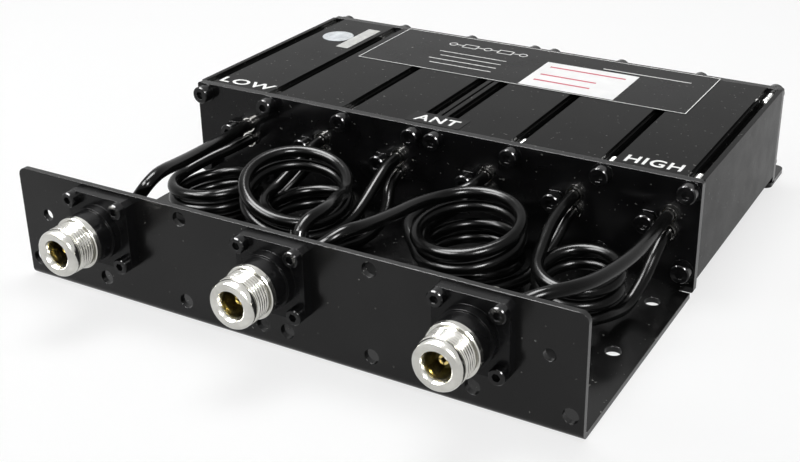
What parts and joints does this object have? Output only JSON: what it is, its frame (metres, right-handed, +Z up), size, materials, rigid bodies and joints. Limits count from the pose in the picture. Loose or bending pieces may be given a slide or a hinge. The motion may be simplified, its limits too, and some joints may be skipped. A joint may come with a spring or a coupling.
{
  "type": "cavity duplexer",
  "caption": "Helical-resonator cavity duplexer: flat black metal block with tuning screws on an open tray, coiled coaxial jumpers and threaded coaxial jacks on its front panel.",
  "frame": {"origin": "middle of the bounding box's underside, which is the underside of the tray", "axes": "+X along the front panel from the low to the high jack, +Y from the front panel back to the cavity block, +Z up"},
  "size_m": [0.213, 0.2426, 0.0455],
  "materials": {
    "tray_black": "satin",
    "plate_black": "gloss",
    "extrusion_black": "satin",
    "black_steel": "gloss",
    "jack_black": "satin",
    "nickel": "polished",
    "gold": "polished",
    "ptfe": "matte",
    "tinned_brass": "polished",
    "copper": "polished",
    "silvered_copper": "satin",
    "plain_brass": "satin",
    "cable_jacket": "gloss"
  },
  "bodies": {
    "chassis": {"chassis_tray": "tray_black", "cavity_extrusion_left": "extrusion_black", "cavity_extrusion_right": "extrusion_black", "front_end_plate": "plate_black", "rear_end_plate": "plate_black", "front_plate_screws": "black_steel", "rear_plate_screws": "black_steel", "front_plate_washers": "black_steel", "rear_plate_washers": "black_steel", "chassis_screws": "black_steel", "jack_screws": "black_steel", "cable_ferrules": "tinned_brass", "jack_core_wires": "copper", "coupling_loops": "copper", "coil_formers": "ptfe", "low_jack_flange": "jack_black", "low_jack_barrel": "nickel", "low_jack_insulator": "ptfe", "low_jack_contact": "gold", "antenna_jack_flange": "jack_black", "antenna_jack_barrel": "nickel", "antenna_jack_insulator": "ptfe", "antenna_jack_contact": "gold", "high_jack_flange": "jack_black", "high_jack_barrel": "nickel", "high_jack_insulator": "ptfe", "high_jack_contact": "gold", "resonator_coil_1": "silvered_copper", "resonator_coil_2": "silvered_copper", "resonator_coil_3": "silvered_copper", "resonator_coil_4": "silvered_copper", "resonator_coil_5": "silvered_copper", "resonator_coil_6": "silvered_copper", "coax_low_lead": "cable_jacket", "coax_low_jumper": "cable_jacket", "coax_low_antenna_jumper": "cable_jacket", "coax_low_antenna_lead": "cable_jacket", "coax_high_antenna_lead": "cable_jacket", "coax_high_antenna_jumper": "cable_jacket", "coax_high_jumper": "cable_jacket", "coax_high_lead": "cable_jacket"},
    "slug_1": {"tuning_slug_1": "plain_brass"},
    "screw_1": {"tuning_screw_1": "black_steel"},
    "nut_1": {"tuning_lock_nut_1": "black_steel"},
    "slug_2": {"tuning_slug_2": "plain_brass"},
    "screw_2": {"tuning_screw_2": "black_steel"},
    "nut_2": {"tuning_lock_nut_2": "black_steel"},
    "slug_3": {"tuning_slug_3": "plain_brass"},
    "screw_3": {"tuning_screw_3": "black_steel"},
    "nut_3": {"tuning_lock_nut_3": "black_steel"},
    "slug_4": {"tuning_slug_4": "plain_brass"},
    "screw_4": {"tuning_screw_4": "black_steel"},
    "nut_4": {"tuning_lock_nut_4": "black_steel"},
    "slug_5": {"tuning_slug_5": "plain_brass"},
    "screw_5": {"tuning_screw_5": "black_steel"},
    "nut_5": {"tuning_lock_nut_5": "black_steel"},
    "slug_6": {"tuning_slug_6": "plain_brass"},
    "screw_6": {"tuning_screw_6": "black_steel"},
    "nut_6": {"tuning_lock_nut_6": "black_steel"}
  },
  "joints": [
    {"name": "tuning_1_travel", "type": "slide", "parent": "chassis", "child": "slug_1", "axis": [0, 1, 0], "range_m": [-0.0035, 0.00032]},
    {"name": "tuning_1_turn", "type": "hinge", "parent": "slug_1", "child": "screw_1", "pos_m": [-0.08777, 0.00105, 0.0255], "axis": [0, 1, 0], "range_deg": [-1800.1, 162.1]},
    {"name": "lock_nut_1_turn", "type": "hinge", "parent": "chassis", "child": "nut_1", "pos_m": [-0.08777, -0.00005, 0.0255], "axis": [0, 1, 0], "range_deg": [-90, 0]},
    {"name": "tuning_2_travel", "type": "slide", "parent": "chassis", "child": "slug_2", "axis": [0, 1, 0], "range_m": [-0.0035, 0.00032]},
    {"name": "tuning_2_turn", "type": "hinge", "parent": "slug_2", "child": "screw_2", "pos_m": [-0.0529, 0.00105, 0.0255], "axis": [0, 1, 0], "range_deg": [-1800.1, 162.1]},
    {"name": "lock_nut_2_turn", "type": "hinge", "parent": "chassis", "child": "nut_2", "pos_m": [-0.0529, -0.00005, 0.0255], "axis": [0, 1, 0], "range_deg": [-90, 0]},
    {"name": "tuning_3_travel", "type": "slide", "parent": "chassis", "child": "slug_3", "axis": [0, 1, 0], "range_m": [-0.0035, 0.00014]},
    {"name": "tuning_3_turn", "type": "hinge", "parent": "slug_3", "child": "screw_3", "pos_m": [-0.01803, 0.00105, 0.0255], "axis": [0, 1, 0], "range_deg": [-1800.1, 72.1]},
    {"name": "lock_nut_3_turn", "type": "hinge", "parent": "chassis", "child": "nut_3", "pos_m": [-0.01803, -0.00005, 0.0255], "axis": [0, 1, 0], "range_deg": [-90, 0]},
    {"name": "tuning_4_travel", "type": "slide", "parent": "chassis", "child": "slug_4", "axis": [0, 1, 0], "range_m": [-0.0035, 0.00067]},
    {"name": "tuning_4_turn", "type": "hinge", "parent": "slug_4", "child": "screw_4", "pos_m": [0.01923, 0.00105, 0.0255], "axis": [0, 1, 0], "range_deg": [-1800.1, 342.1]},
    {"name": "lock_nut_4_turn", "type": "hinge", "parent": "chassis", "child": "nut_4", "pos_m": [0.01923, -0.00005, 0.0255], "axis": [0, 1, 0], "range_deg": [-90, 0]},
    {"name": "tuning_5_travel", "type": "slide", "parent": "chassis", "child": "slug_5", "axis": [0, 1, 0], "range_m": [-0.0035, 0.00049]},
    {"name": "tuning_5_turn", "type": "hinge", "parent": "slug_5", "child": "screw_5", "pos_m": [0.0541, 0.00105, 0.0255], "axis": [0, 1, 0], "range_deg": [-1800.1, 252.1]},
    {"name": "lock_nut_5_turn", "type": "hinge", "parent": "chassis", "child": "nut_5", "pos_m": [0.0541, -0.00005, 0.0255], "axis": [0, 1, 0], "range_deg": [-90, 0]},
    {"name": "tuning_6_travel", "type": "slide", "parent": "chassis", "child": "slug_6", "axis": [0, 1, 0], "range_m": [-0.0035, 0.00084]},
    {"name": "tuning_6_turn", "type": "hinge", "parent": "slug_6", "child": "screw_6", "pos_m": [0.08897, 0.00105, 0.0255], "axis": [0, 1, 0], "range_deg": [-1800.1, 432.1]},
    {"name": "lock_nut_6_turn", "type": "hinge", "parent": "chassis", "child": "nut_6", "pos_m": [0.08897, -0.00005, 0.0255], "axis": [0, 1, 0], "range_deg": [-90, 0]}
  ],
  "couplings": [
    {"joint": "tuning_1_turn", "follows": "tuning_1_travel", "rad_per_m": 8976},
    {"joint": "tuning_2_turn", "follows": "tuning_2_travel", "rad_per_m": 8976},
    {"joint": "tuning_3_turn", "follows": "tuning_3_travel", "rad_per_m": 8976},
    {"joint": "tuning_4_turn", "follows": "tuning_4_travel", "rad_per_m": 8976},
    {"joint": "tuning_5_turn", "follows": "tuning_5_travel", "rad_per_m": 8976},
    {"joint": "tuning_6_turn", "follows": "tuning_6_travel", "rad_per_m": 8976}
  ]
}
